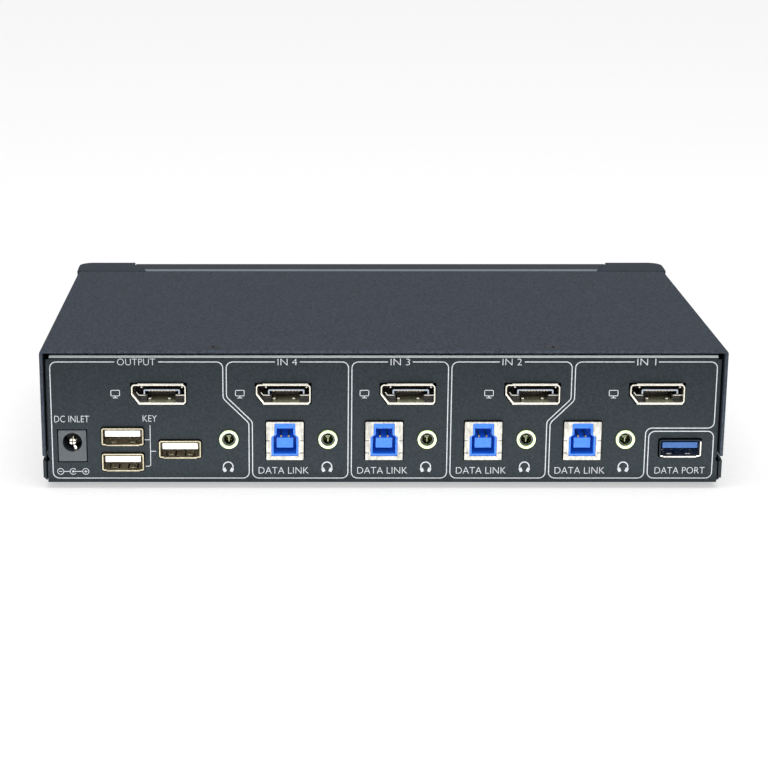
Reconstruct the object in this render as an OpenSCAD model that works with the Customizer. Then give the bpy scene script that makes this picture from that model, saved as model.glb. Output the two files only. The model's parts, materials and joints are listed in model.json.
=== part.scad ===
// Four-way desktop switch box with rows of standard sockets on its rear panel.
// Millimetres. Origin: centre of the footprint, on the surface that the feet rest on.
// +Y is the socket side, -Y the button side, +Z up.

/* [Case] */
// Width over the sheet metal cover
case_w = 220; // [212:1:290]
// Depth from the front bezel to the rear edge of the cover
case_d = 132; // [124:1:190]
// Height of the case without its feet
case_h = 44.4; // [44:0.2:60]
// Thickness of the tray and cover sheet
sheet_t = 1; // [0.8:0.1:1.2]
// How far the cover overhangs the rear panel
rear_overhang = 1; // [0.6:0.1:2]
// Outer radius of the sheet metal bends
bend_r = 1.2; // [1.0:0.1:2]
// Gap between cover and tray wherever they slide together
slide_gap = 0.2; // [0.1:0.05:0.4]
// Height of the tray's outer side wall, up to the joggle
tray_wall_h = 7.8; // [5:0.2:9]
// Height of the rubber feet below the tray
foot_h = 2.2; // [1.5:0.1:5]
// Diameter of a rubber foot
foot_d = 10; // [6:0.5:16]

/* [Front] */
// Depth of the plastic bezel
bezel_d = 13.7; // [12:0.1:16]
// How far the bezel stands proud of the cover at top and sides
bezel_proud = 0.35; // [0.2:0.05:0.6]
// Wall of the bezel
bezel_wall = 2.2; // [1.6:0.1:3]
// Plan radius of the bezel's front corners
bezel_corner_r = 5; // [3:0.5:8]
// Width of the bezel's end piece beside the front plate
bezel_ear_w = 21; // [16:0.5:24]
// Thickness of the front plate
fascia_t = 2.5; // [2:0.1:3.2]
// Setback of the front plate from the bezel's front
fascia_inset = 1; // [0.5:0.1:2]
// Gap around the front plate
fascia_gap = 0.2; // [0.1:0.05:0.4]

/* [Buttons] */
// Distance between neighbouring select buttons
button_pitch = 22; // [18:1:30]
// Width of a button cap
button_w = 14; // [10:0.5:16]
// Height of a button cap
button_h = 8; // [6:0.5:12]
// How far a cap stands out of the front plate
button_out = 0.8; // [0.6:0.1:1]
// Travel of a button
button_travel = 0.5; // [0.3:0.05:0.6]
// Gap between a cap and its opening
button_gap = 0.2; // [0.15:0.05:0.4]
// Diameter of a switch plunger
plunger_d = 3.2; // [2.4:0.1:4]
// Radial gap between a plunger and its switch
plunger_gap = 0.08; // [0.05:0.01:0.1]

/* [Boards] */
// Thickness of the circuit boards
board_t = 1.6; // [1.2:0.2:2]
// Height of the studs that carry the main board
stud_h = 4.5; // [4:0.5:8]
// Clear height between the main board and the video board
board_space = 17.4; // [16.4:0.2:20]
// Diameter of a board screw
screw_d = 3; // [2.5:0.1:3]
// Radial gap around a screw
screw_gap = 0.1; // [0.05:0.05:0.2]

/* [Sockets] */
// Distance between neighbouring video sockets
video_pitch = 40; // [34:0.5:42]
// Distance between neighbouring host sockets, and between audio jacks
host_pitch = 32; // [30:0.5:34]
// Outside width of a video socket shell
video_w = 17.5; // [16.9:0.1:18]
// Outside height of a video socket shell
video_h = 6.4; // [6:0.1:6.8]
// Outside width of a square host socket shell
host_w = 12; // [11.6:0.1:12.4]
// Outside height of a square host socket shell
host_h = 12.8; // [12.2:0.1:13.2]
// Outside width of a flat socket shell
flat_w = 13.5; // [13.1:0.1:14]
// Outside height of a flat socket shell
flat_h = 5.9; // [5.7:0.1:6.2]
// Metal thickness of the socket shells
shell_t = 0.4; // [0.3:0.05:0.5]
// Gap between a socket and its panel cutout
socket_gap = 0.35; // [0.2:0.05:0.5]
// Outer diameter of an audio jack's nose
jack_nose_d = 6.05; // [5.6:0.05:6.6]
// Bore of an audio jack
jack_bore_d = 3.6; // [3.55:0.05:3.7]
// Depth of the round bore in the audio jack's nose
jack_bore_l = 5; // [4:0.5:8]
// Bore of the power jack
power_bore_d = 6.3; // [5.6:0.1:6.6]
// Diameter of the power jack's centre pin
power_pin_d = 2.1; // [1.9:0.1:2.6]

/* [Hidden] */
$fn = 40;

// Colours
cover_col = [0.27, 0.29, 0.32];
tray_col = [0.30, 0.32, 0.33];
nickel = [0.82, 0.80, 0.74];
black_plastic = [0.06, 0.06, 0.07];
white_plastic = [0.92, 0.91, 0.88];
blue_plastic = [0.10, 0.38, 0.85];
lime_plastic = [0.80, 0.93, 0.62];
gold = [0.80, 0.62, 0.25];
board_green = [0.07, 0.25, 0.16];
screw_col = [0.20, 0.21, 0.22];

eps = 0.01; // lets a cut run clear of the face it starts from

// Levels and planes of the case
tray_z = foot_h;
floor_z = tray_z + sheet_t;
top_z = foot_h + case_h;
rear_y = case_d / 2;
front_y = -case_d / 2;
panel_y = rear_y - rear_overhang;
panel_in_y = panel_y - sheet_t;
bezel_rear_y = front_y + bezel_d;
wall_y = bezel_rear_y;
cover_front_y = bezel_rear_y + slide_gap;
side_in_x = case_w / 2 - sheet_t;
flange_x = side_in_x - slide_gap;
joggle_z = tray_z + tray_wall_h;
joggle_h = 1;
cover_low_z = joggle_z + joggle_h + 0.3;
top_gap = 0.9;
tray_top_z = top_z - sheet_t - top_gap;
panel_x = side_in_x - 1;
panel_foot_x = side_in_x - 0.5;
notch_r = 0.9;
notch_z = joggle_z + 0.1;
rear_flange_d = 10;
rear_bend_r = sheet_t + 0.5; // outer radius where the panel folds over into its top flange
rear_flange_x = panel_x - 1;

// Feet
foot_inset_x = 20;
foot_inset_y = bezel_d + foot_d / 2 + 3;
foot_chamfer = 0.5;

// Screws of the cover
cover_screw_x = 54.5;
cover_screw_inset = 4.5;
cover_screw_d = 2.5;
cover_head_d = 5;
cover_head_h = 0.9;
cover_screw_l = 5;
side_screw_inset_y = 26;
side_screw_drop = 20;
recess_d = 2.6;
recess_h = 0.5;

// Vent slots in the cover's sides
vent_w = 2;
vent_l = 14;
vent_pitch = 5;
vent_count = 9;
vent_z = cover_low_z + 8;

// Boards
board_top = floor_z + stud_h + board_t;
board_low = board_top - board_t;
video_low = board_top + board_space;
video_top = video_low + board_t;
board_gap = 2.5;
main_half_w = flange_x - sheet_t - 4;
main_front_y = wall_y + sheet_t + 0.8;
main_rear_y = panel_in_y - board_gap;
video_front_y = panel_in_y - 42;
row_x = -16.4;
video_row_x = -7.9;
audio_row_x = -14.3;
video_left_x = video_x(4) - 12.1;
video_right_x = video_x(0) + 11.9;
spacer_af = 5;
spacer_y = [panel_y - 21.6, video_front_y + 5];
spacer_x = [video_left_x + 8, -42, 50];
stud_x = [-main_half_w + 6, 0, main_half_w - 6];
stud_y = [main_front_y + 5, video_front_y - 8];
stud_d = 6;
screw_head_d = 5.5;
screw_head_h = 2;

// Front plate, buttons and front board
fascia_y = front_y + fascia_inset;
fascia_in_y = fascia_y + fascia_t;
fascia_half_w = case_w / 2 + bezel_proud - bezel_ear_w - fascia_gap;
fascia_low_z = tray_z + 2.2;
lip_rear_y = fascia_y + 9.8;
lip_t = 2;
lip_slant = 4.1;
lip_gap = 0.45;
ear_slope_d = 2; // how far in front of the lip's rear edge the corner pieces start to slope down
lip_rise = 0.15; // the lip stands this much above the cover
lip_chamfer = 0.7;
lip_top_z = top_z + lip_rise;
button_first_x = -66;
button_z = tray_z + 26;
flange_t = 1;
flange_rim = 1.2;
flange_gap = 0.1;
button_rear_y = fascia_in_y + flange_gap + flange_t;
switch_front_gap = button_travel + 0.3;
switch_d = 2.4;
switch_w = 6;
switch_y = button_rear_y + switch_front_gap;
front_board_y = switch_y + switch_d;
front_board_x = [button_first_x - 22, button_first_x + 3 * button_pitch + 14];
front_board_z = [button_z - 12, button_z + 14];
front_screw_d = 2;
front_post_d = 4.4;
front_post_x = [front_board_x[0] + 3.5, front_board_x[1] - 3.5];
light_z = button_z + 9.5;
light_d = 2;
power_light_x = button_first_x - 12;
lamp_w = 1.6;
lamp_t = 0.8;
front_port_x = [46, 70];
front_port_z = board_top + 0.7 + flat_h / 2;
front_port_l = 19;

// Sockets
video_z = video_top + 0.6 + video_h / 2;
video_l = 17;
video_key = [2.3, 3];
video_tongue_w = 11.7;
video_tongue_off = 0.95;
host_z = board_top + 0.7 + host_h / 2;
host_l = 18;
host_face_t = 0.5;
host_r = 0.3;
flat_l = 17;
pair_x = case_w / 2 - 26;
pair_z = [board_top - 0.2, board_top + 8.4];
single_x = case_w / 2 - 44.5;
single_z = board_top + 4.15;
fast_x = -case_w / 2 + 13.9;
fast_z = board_top + 4.55;
jack_z = board_top + 7.47;
jack_out = 0.7;
jack_gap = 0.12;
jack_l = 13;
jack_body_w = 6.6;
jack_cavity_d = 4.8;
power_x = case_w / 2 - 9.7;
power_z = board_top + 6.4;
power_w = 9;
power_h = 10.4;
power_l = 14;
power_bore_l = 10;
power_pin_back = 1;
power_low_z = board_top;
lip_out = 0.9;
cutout_r = 0.3;
face_y = panel_y + lip_out;
host_rim = 0.7;

function host_x(k) = row_x + (1.5 - k) * host_pitch;
function video_x(k) = video_row_x + (2 - k) * video_pitch;
function audio_x(k) = audio_row_x + (2 - k) * host_pitch;
function button_x(k) = button_first_x + k * button_pitch;

// ---------- outlines ----------

function unit(v) = v / norm(v);
function at(list, i) = list[(i + len(list)) % len(list)];

// Points of one rounded corner at b, between its neighbours a and c
function corner(a, b, c, r, n) =
    let (
        u = unit(a - b),
        v = unit(c - b),
        half = acos(u * v) / 2,
        centre = b + r / sin(half) * unit(u + v),
        s = b + r / tan(half) * u - centre,
        e = b + r / tan(half) * v - centre,
        start = atan2(s[1], s[0]),
        sweep = (atan2(e[1], e[0]) - start + 540) % 360 - 180
    )
    r <= 0 ? [b] : [for (k = [0:n]) centre + r * [cos(start + sweep * k / n), sin(start + sweep * k / n)]];

// Outline p with its corners rounded by r, one radius or a list of them
function rounded(p, r, n = 4) = [
    for (i = [0:len(p) - 1])
        each corner(at(p, i - 1), p[i], at(p, i + 1), is_list(r) ? r[i] : r, n)
];

function box_pts(w, h) = [[-w / 2, -h / 2], [w / 2, -h / 2], [w / 2, h / 2], [-w / 2, h / 2]];

// Box between two corners
module block(lo, hi) {
    translate(lo) cube(hi - lo);
}

// An XZ outline, centred on x and z, from y0 to y1
module along_y(x, z, y0, y1) {
    translate([x, y1, z]) rotate([90, 0, 0]) linear_extrude(y1 - y0) children();
}

// Round bar along Y
module bar_y(x, z, y0, y1, d) {
    translate([x, y1, z]) rotate([90, 0, 0]) cylinder(h = y1 - y0, d = d);
}

// A YZ outline from x0 to x1
module along_x(x0, x1) {
    translate([x0, 0, 0]) rotate([90, 0, 90]) linear_extrude(x1 - x0) children();
}

module upright(x, y, z0, z1, d) {
    translate([x, y, z0]) cylinder(h = z1 - z0, d = d);
}

// ---------- socket outlines, each centred on its own middle ----------

// Keyed outline of a video socket: one lower corner cut off, the others rounded
function keyed_pts(grow, radii) =
    let (w = video_w / 2 + grow, h = video_h / 2 + grow, k = video_key)
    rounded([[-w, -h], [w - k[0], -h], [w, -h + k[1]], [w, h], [-w, h]], radii);
function video_pts(grow) = keyed_pts(grow, [0.9, 0.6, 0.6, 1, 1.1] + grow * [1, 0.4, 0.4, 1, 1]);

function flat_pts(grow) = rounded(box_pts(flat_w + 2 * grow, flat_h + 2 * grow), 0.6 + grow);

function host_pts(grow) = rounded(box_pts(host_w + 2 * grow, host_h + 2 * grow), max(0.1, host_r + grow));

// House-shaped mouth of a host socket: narrow top, sloping shoulders, wide lower part
host_mouth_w = [6.8, 8.8];
host_mouth_z = [-5.1, 1.3, 2.1, 5.9];
function mouth_pts(grow) =
    let (a = host_mouth_w[0] / 2 + grow, b = host_mouth_w[1] / 2 + grow, z = host_mouth_z)
    rounded([[-b, z[0] - grow], [b, z[0] - grow], [b, z[1]], [a, z[2]], [a, z[3] + grow],
             [-a, z[3] + grow], [-a, z[2]], [-b, z[1]]], 0.35, 3);

// ---------- sheet metal ----------

module panel_cutouts() {
    y0 = panel_in_y - 1;
    y1 = panel_y + 1;
    for (k = [0:4]) {
        along_y(video_x(k), video_z, y0, y1) polygon(keyed_pts(socket_gap, cutout_r));
        bar_y(audio_x(k), jack_z, y0, y1, jack_nose_d + 2 * jack_gap);
    }
    for (k = [0:3])
        along_y(host_x(k), host_z, y0, y1) polygon(host_pts(socket_gap));
    for (place = [[pair_x, pair_z[0]], [pair_x, pair_z[1]], [single_x, single_z], [fast_x, fast_z]])
        along_y(place[0], place[1], y0, y1) polygon(flat_pts(socket_gap));
    along_y(power_x, power_low_z + power_h / 2, y0, y1)
        square([power_w + 2 * socket_gap, power_h + 2 * socket_gap], center = true);
}

// Floor, front wall, rear panel and its bent top flange, as one folded section
module tray_section() {
    low_wall = top_z - sheet_t - 3;
    polygon(rounded([
        [wall_y, low_wall], [wall_y, tray_z], [panel_y, tray_z], [panel_y, tray_top_z],
        [panel_y - rear_flange_d, tray_top_z], [panel_y - rear_flange_d, tray_top_z - sheet_t],
        [panel_in_y, tray_top_z - sheet_t], [panel_in_y, floor_z], [wall_y + sheet_t, floor_z],
        [wall_y + sheet_t, low_wall]
    ], [0, bend_r, bend_r, rear_bend_r, 0, 0, rear_bend_r - sheet_t, 0.2, 0.2, 0]));
}

// Floor with both side walls and their joggled upper flanges
module tray_sides() {
    x0 = case_w / 2;
    x1 = flange_x;
    t = sheet_t;
    right = [[x0, tray_z], [x0, joggle_z], [x1, joggle_z + joggle_h], [x1, tray_top_z]];
    inner = [[x1 - t, tray_top_z], [x1 - t, joggle_z + joggle_h - 0.3], [x0 - t, joggle_z - 0.3],
             [x0 - t, floor_z]];
    r_right = [bend_r, 0.8, 0.8, 0];
    r_inner = [0, 0.8, 0.8, 0.2];
    flip = function(list) [for (i = [len(list) - 1:-1:0]) list[i]];
    mirror_x = function(list) [for (p = flip(list)) [-p[0], p[1]]];
    polygon(rounded(
        concat(right, inner, mirror_x(inner), mirror_x(right)),
        concat(r_right, r_inner, flip(r_inner), flip(r_right))));
}

module base_tray() {
    color(tray_col) difference() {
        union() {
            along_x(-panel_foot_x, panel_foot_x) tray_section();
            difference() {
                translate([0, panel_y, 0]) rotate([90, 0, 0])
                    linear_extrude(panel_y - wall_y) tray_sides();
                // the upper flanges stop short of the panel, the lower walls run beside it
                for (s = [-1, 1]) {
                    block([s < 0 ? -case_w : panel_foot_x - 3, panel_in_y - 0.4, joggle_z - 0.4],
                          [s < 0 ? -panel_foot_x + 3 : case_w, panel_y + 1, top_z]);
                    block([s < 0 ? -side_in_x : panel_foot_x, panel_in_y - 3, tray_z - 1],
                          [s < 0 ? -panel_foot_x : side_in_x, panel_y + 1, top_z]);
                    block([s < 0 ? -case_w : panel_foot_x, panel_in_y - 1.2, tray_z - 1],
                          [s < 0 ? -panel_foot_x : case_w, panel_y + 1, tray_z + bend_r + 0.3]);
                }
            }
        }
        // the panel narrows above a round relief notch at each end
        for (s = [-1, 1]) {
            block([s < 0 ? -case_w : panel_x, panel_in_y - 0.4, notch_z],
                  [s < 0 ? -panel_x : case_w, panel_y + 1, top_z]);
            block([s < 0 ? -case_w : rear_flange_x, panel_y - rear_flange_d - 1, tray_top_z - 2.2],
                  [s < 0 ? -rear_flange_x : case_w, panel_in_y, top_z]);
            block([s < 0 ? -case_w : rear_flange_x, panel_y - rear_flange_d, tray_top_z - 1.3],
                  [s < 0 ? -rear_flange_x : case_w, panel_y + 1, top_z]);
            bar_y(s * (panel_foot_x + 0.2), notch_z, panel_in_y - 0.4, panel_y + 1, 2 * notch_r);
            upright(s * cover_screw_x, panel_y - cover_screw_inset + rear_overhang,
                    tray_top_z - 3, top_z, cover_screw_d + 2 * screw_gap);
        }
        panel_cutouts();
        // holes for the studs, the bezel screws, the side screws and the feet
        for (p = stud_places())
            upright(p[0], p[1], tray_z - 1, floor_z + 1, stud_d - 2);
        for (p = bezel_screw_places())
            bar_y(p[0], p[1], wall_y - 1, wall_y + 3, screw_d + 2 * screw_gap);
        for (s = [-1, 1], y = side_screw_y())
            translate([s * case_w / 2, y, top_z - side_screw_drop]) rotate([0, 90, 0])
                cylinder(h = 10, d = cover_screw_d + 2 * screw_gap, center = true);
        for (p = foot_places())
            upright(p[0], p[1], tray_z - 1, floor_z + 1, foot_d / 2 - 1);
        // front openings: ports and ribbon
        for (x = front_port_x)
            along_y(x, front_port_z, wall_y - 1, wall_y + 3) polygon(flat_pts(socket_gap));
        block([ribbon_x - ribbon_w / 2 - 2, wall_y - 1, ribbon_z - 2],
              [ribbon_x + ribbon_w / 2 + 2, wall_y + 3, ribbon_z + 2]);
        // cooling slots in the floor
        for (k = [-4:4])
            translate([k * 12, 8, tray_z + sheet_t / 2])
                cube([vent_w, vent_l * 1.5, 3], center = true);
    }
}

function stud_places() = concat([for (x = stud_x, y = stud_y) [x, y]],
                                [for (x = [-main_half_w + 6, main_half_w - 36]) [x, main_rear_y - 26]]);
function bezel_screw_places() =
    [for (s = [-1, 1], z = [tray_z + 12, top_z - 12]) [s * (case_w / 2 - 9), z]];
function side_screw_y() = [cover_front_y + side_screw_inset_y, rear_y - side_screw_inset_y];
function foot_places() = [for (s = [-1, 1], t = [-1, 1]) [s * (case_w / 2 - foot_inset_x),
                                                         t * (case_d / 2 - foot_inset_y)]];

module top_cover() {
    x0 = case_w / 2;
    t = sheet_t;
    color(cover_col) difference() {
        translate([0, rear_y, 0]) rotate([90, 0, 0]) linear_extrude(rear_y - cover_front_y)
            polygon(rounded([
                [-x0, cover_low_z], [-x0, top_z], [x0, top_z], [x0, cover_low_z],
                [x0 - t, cover_low_z], [x0 - t, top_z - t], [-x0 + t, top_z - t], [-x0 + t, cover_low_z]
            ], [0, bend_r, bend_r, 0, 0, bend_r - t, bend_r - t, 0]));
        for (s = [-1, 1]) {
            translate([s * cover_screw_x, rear_y - cover_screw_inset, top_z])
                countersink(cover_head_d, cover_screw_d);
            for (y = side_screw_y())
                translate([s * x0, y, top_z - side_screw_drop]) rotate([0, s * 90, 0])
                    countersink(cover_head_d, cover_screw_d);
            for (k = [0:vent_count - 1])
                translate([s * x0, (k - (vent_count - 1) / 2) * vent_pitch + rear_y / 8, vent_z + vent_l / 2])
                    cube([4 * t, vent_w, vent_l], center = true);
        }
    }
}

// Cut for a countersunk screw whose head lies flush at z = 0
module countersink(head, shank) {
    translate([0, 0, -cover_head_h])
        cylinder(h = cover_head_h + eps, d1 = shank + 2 * screw_gap, d2 = head + 2 * screw_gap);
    translate([0, 0, -4]) cylinder(h = 4.5 - cover_head_h, d = shank + 2 * screw_gap);
}

// Countersunk screw, head flush at z = 0, with a cross recess
module flush_screw(head, shank, length) {
    difference() {
        union() {
            translate([0, 0, -cover_head_h]) cylinder(h = cover_head_h, d1 = shank, d2 = head);
            translate([0, 0, -length]) cylinder(h = length - cover_head_h + eps, d = shank);
        }
        cross_recess(recess_d);
    }
}

module cross_recess(d) {
    for (a = [0, 90])
        rotate([0, 0, a]) cube([d, d / 4, 2 * recess_h], center = true);
}

// Pan head screw pointing down from z = 0
module pan_screw(d, head, head_h, length) {
    difference() {
        union() {
            cylinder(h = head_h * 0.6, d = head);
            translate([0, 0, head_h * 0.6]) cylinder(h = head_h * 0.4, d1 = head, d2 = head * 0.7);
            translate([0, 0, -length]) cylinder(h = length + eps, d = d);
        }
        translate([0, 0, head_h]) cross_recess(head * 0.55);
    }
}

module cover_screws() {
    color(screw_col) for (s = [-1, 1]) {
        translate([s * cover_screw_x, rear_y - cover_screw_inset, top_z])
            flush_screw(cover_head_d, cover_screw_d, cover_screw_l);
        for (y = side_screw_y())
            translate([s * case_w / 2, y, top_z - side_screw_drop]) rotate([0, s * 90, 0])
                flush_screw(cover_head_d, cover_screw_d, cover_screw_l);
    }
}

module rubber_feet() {
    color(black_plastic) for (p = foot_places())
        translate([p[0], p[1], 0]) {
            cylinder(h = foot_chamfer, d1 = foot_d - 2 * foot_chamfer, d2 = foot_d);
            translate([0, 0, foot_chamfer]) cylinder(h = foot_h - foot_chamfer, d = foot_d);
            translate([0, 0, foot_h - eps]) cylinder(h = sheet_t + 0.6, d = foot_d / 2 - 1.4);
        }
}

// ---------- front ----------

module bezel_plan(inset, rear) {
    w = case_w / 2 + bezel_proud - inset;
    r = bezel_corner_r - min(inset, bezel_corner_r - 1);
    polygon(rounded([[-w, rear], [-w, front_y + inset], [w, front_y + inset], [w, rear]],
                    [0, r, r, 0], 8));
}

module front_bezel() {
    z0 = tray_z - bezel_proud;
    z1 = top_z + bezel_proud;
    half = fascia_half_w + fascia_gap;
    lip_half = fascia_half_w + lip_gap;
    color(cover_col) difference() {
        union() {
            difference() {
                translate([0, 0, z0]) linear_extrude(z1 - z0) bezel_plan(0, bezel_rear_y);
                translate([0, 0, z0 + bezel_wall]) linear_extrude(z1 - z0 - 2 * bezel_wall)
                    bezel_plan(bezel_wall, bezel_rear_y + 1);
            }
            // screw posts at the four corners
            for (p = bezel_screw_places())
                bar_y(p[0], p[1], front_y + bezel_wall - 0.5, bezel_rear_y, 7);
        }
        // opening for the front plate, through the top edge as well
        block([-half, front_y - 1, fascia_low_z - fascia_gap], [half, fascia_in_y + fascia_gap, z1 + 1]);
        translate([0, 0, top_z - lip_t - fascia_gap]) linear_extrude(lip_t + 2) polygon([
            [-lip_half, front_y - 1], [lip_half, front_y - 1], [lip_half, fascia_y + 2],
            [lip_half - lip_slant, lip_rear_y + fascia_gap], [lip_slant - lip_half, lip_rear_y + fascia_gap],
            [-lip_half, fascia_y + 2]]);
        // the corner pieces come down to the cover's level at their rear edge
        along_x(-case_w, case_w) polygon([
            [bezel_rear_y + 1, top_z + 0.04], [bezel_rear_y + 1, z1 + 1],
            [lip_rear_y - ear_slope_d, z1 + 1], [lip_rear_y - ear_slope_d, z1]]);
        // shallow shadow groove between the lip and the cover
        block([lip_slant - half, lip_rear_y, top_z - 0.8], [half - lip_slant, bezel_rear_y + 1, z1 + 1]);
        for (p = bezel_screw_places())
            bar_y(p[0], p[1], bezel_rear_y - 8, bezel_rear_y + 1, screw_d + 2 * screw_gap);
    }
}

module fascia_openings() {
    for (k = [0:3]) {
        along_y(button_x(k), button_z, fascia_y - 1, fascia_in_y + 1)
            polygon(rounded(box_pts(button_w + 2 * button_gap, button_h + 2 * button_gap), 1.6 + button_gap));
        bar_y(button_x(k), light_z, fascia_y - 1, fascia_in_y + 1, light_d + 2 * fascia_gap);
    }
    bar_y(power_light_x, light_z, fascia_y - 1, fascia_in_y + 1, light_d + 2 * fascia_gap);
    for (x = front_port_x)
        along_y(x, front_port_z, fascia_y - 1, fascia_in_y + 1) polygon(flat_pts(socket_gap));
}

module front_fascia() {
    half = fascia_half_w;
    color(black_plastic) difference() {
        union() {
            block([-half, fascia_y, fascia_low_z], [half, fascia_in_y, top_z - lip_t]);
            // lip that wraps over the top edge
            intersection() {
                translate([0, 0, top_z - lip_t]) linear_extrude(lip_t + lip_rise) polygon([
                    [-half, fascia_y], [half, fascia_y], [half, fascia_y + 2],
                    [half - lip_slant, lip_rear_y], [lip_slant - half, lip_rear_y], [-half, fascia_y + 2]]);
                along_x(-case_w, case_w) polygon(rounded([
                    [fascia_y, top_z - lip_t], [lip_rear_y, top_z - lip_t],
                    [lip_rear_y, lip_top_z - lip_chamfer], [lip_rear_y - lip_chamfer, lip_top_z],
                    [fascia_y, lip_top_z]], [0, 0, 0.1, 0.2, 0.6]));
            }
            for (x = front_post_x, z = front_post_z())
                bar_y(x, z, fascia_in_y - 0.2, front_board_y, front_post_d);
        }
        fascia_openings();
        for (x = front_post_x, z = front_post_z())
            bar_y(x, z, front_board_y - 3.4, front_board_y + 1, front_screw_d + 2 * screw_gap);
    }
}

function front_post_z() = [front_board_z[0] + 3.5, front_board_z[1] - 3.5];

module select_button(k) {
    y0 = fascia_y - button_out;
    flange_y = fascia_in_y + flange_gap;
    color(cover_col) union() {
        along_y(button_x(k), button_z, y0 + 0.4, flange_y + flange_t)
            polygon(rounded(box_pts(button_w, button_h), 1.6));
        // bevelled face
        along_y(button_x(k), button_z, y0, y0 + 0.4)
            polygon(rounded(box_pts(button_w - 0.8, button_h - 0.8), 1.2));
        along_y(button_x(k), button_z, flange_y, flange_y + flange_t)
            polygon(rounded(box_pts(button_w + 2 * flange_rim, button_h + 2 * flange_rim), 2));
    }
}

module switch_plunger(k) {
    color(black_plastic)
        bar_y(button_x(k), button_z, button_rear_y, switch_y + switch_d - button_travel - 0.5, plunger_d);
}

module switch_bodies() {
    color(nickel) for (k = [0:3]) difference() {
        along_y(button_x(k), button_z, switch_y, front_board_y)
            polygon(rounded(box_pts(switch_w, switch_w), 0.5));
        bar_y(button_x(k), button_z, switch_y - 1, front_board_y - 0.3, plunger_d + 2 * plunger_gap);
    }
}

module front_board() {
    color(board_green) difference() {
        block([front_board_x[0], front_board_y, front_board_z[0]],
              [front_board_x[1], front_board_y + board_t, front_board_z[1]]);
        for (x = front_post_x, z = front_post_z())
            bar_y(x, z, front_board_y - 1, front_board_y + 4, front_screw_d + 2 * screw_gap);
    }
}

module front_board_screws() {
    color(screw_col) for (x = front_post_x, z = front_post_z())
        translate([x, front_board_y + board_t, z]) rotate([-90, 0, 0])
            pan_screw(front_screw_d, 3.6, 1.3, board_t + 3);
}

function light_places() = concat([for (k = [0:3]) button_x(k)], [power_light_x]);

module status_lights() {
    color(white_plastic) for (x = light_places())
        block([x - lamp_w / 2, front_board_y - lamp_t, light_z - lamp_w / 4],
              [x + lamp_w / 2, front_board_y, light_z + lamp_w / 4]);
}

module light_pipes() {
    color([0.85, 0.92, 0.95, 0.7]) for (x = light_places()) {
        bar_y(x, light_z, fascia_y - 0.1, front_board_y - lamp_t - 0.2, light_d);
        bar_y(x, light_z, fascia_in_y + 0.05, fascia_in_y + 0.85, light_d + 1.4);
    }
}

module bezel_screws() {
    color(screw_col) for (p = bezel_screw_places())
        translate([p[0], wall_y + sheet_t, p[1]]) rotate([-90, 0, 0])
            pan_screw(screw_d, screw_head_d, screw_head_h, sheet_t + 6);
}

// ---------- boards ----------

module board_studs() {
    color(nickel) for (p = stud_places()) difference() {
        union() {
            upright(p[0], p[1], floor_z, board_low, stud_d);
            upright(p[0], p[1], tray_z + 0.1, floor_z + eps, stud_d - 2.2);
        }
        upright(p[0], p[1], floor_z, board_top, screw_d + 2 * screw_gap);
    }
}

function spacer_places() = [for (x = spacer_x, y = spacer_y) [x, y]];

module board_screws() {
    color(screw_col) {
        for (p = stud_places())
            translate([p[0], p[1], board_top]) pan_screw(screw_d, screw_head_d, screw_head_h, board_t + 4);
        for (p = spacer_places()) {
            translate([p[0], p[1], video_top]) pan_screw(screw_d, screw_head_d, screw_head_h, board_t + 5);
            translate([p[0], p[1], board_low]) mirror([0, 0, 1])
                pan_screw(screw_d, screw_head_d, screw_head_h, board_t + 5);
        }
    }
}

module board_spacers() {
    color(gold) for (p = spacer_places()) difference() {
        translate([p[0], p[1], board_top]) cylinder(h = board_space, r = spacer_af / sqrt(3), $fn = 6);
        for (z = [board_top, video_low])
            translate([p[0], p[1], z]) cylinder(h = 13, d = screw_d + 2 * screw_gap, center = true);
    }
}

module board_holes(places, z) {
    for (p = places)
        upright(p[0], p[1], z - 1, z + board_t + 1, screw_d + 2 * screw_gap);
}

module main_board() {
    color(board_green) difference() {
        block([-main_half_w, main_front_y, board_low], [main_half_w, main_rear_y, board_top]);
        board_holes(concat(stud_places(), spacer_places()), board_low);
        // the stacked socket is sunk into the board
        block([pair_x - flat_w / 2 - 0.4, face_y - flat_l - 0.6, board_low - 1],
              [pair_x + flat_w / 2 + 0.4, main_rear_y + 1, board_top + 1]);
    }
}

module video_board() {
    color(board_green) difference() {
        block([video_left_x, video_front_y, video_low], [video_right_x, main_rear_y, video_top]);
        board_holes(spacer_places(), video_low);
    }
}

link_x = 10;
link_y = video_front_y + 6;
link_l = 44;
link_d = 5.6;
link_pins = 12;
link_split = board_top + board_space / 2;
link_pitch = 3;
link_pin_d = 0.8;
link_pin_l = 4;

function link_pin_places() = [for (k = [0:link_pins - 1], s = [-1, 1])
    [link_x + (k - (link_pins - 1) / 2) * link_pitch, link_y + s * 1.3]];

module link_block(z0, z1) {
    block([link_x - link_l / 2, link_y - link_d / 2, z0], [link_x + link_l / 2, link_y + link_d / 2, z1]);
}

module link_plug() {
    color(black_plastic) {
        link_block(board_top, link_split);
        for (p = link_pin_places())
            upright(p[0], p[1], link_split - eps, link_split + link_pin_l, link_pin_d);
    }
}

module link_socket() {
    color(black_plastic) difference() {
        link_block(link_split, video_low);
        for (p = link_pin_places())
            upright(p[0], p[1], link_split - 1, link_split + link_pin_l + 0.5, link_pin_d + 2 * screw_gap);
    }
}

ribbon_x = -30;
ribbon_w = 16;
ribbon_t = 0.4;
ribbon_z = button_z - 4;
ribbon_drop_y = wall_y + 8;
ribbon_socket_h = 3.4;
ribbon_socket_d = 2;

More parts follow.
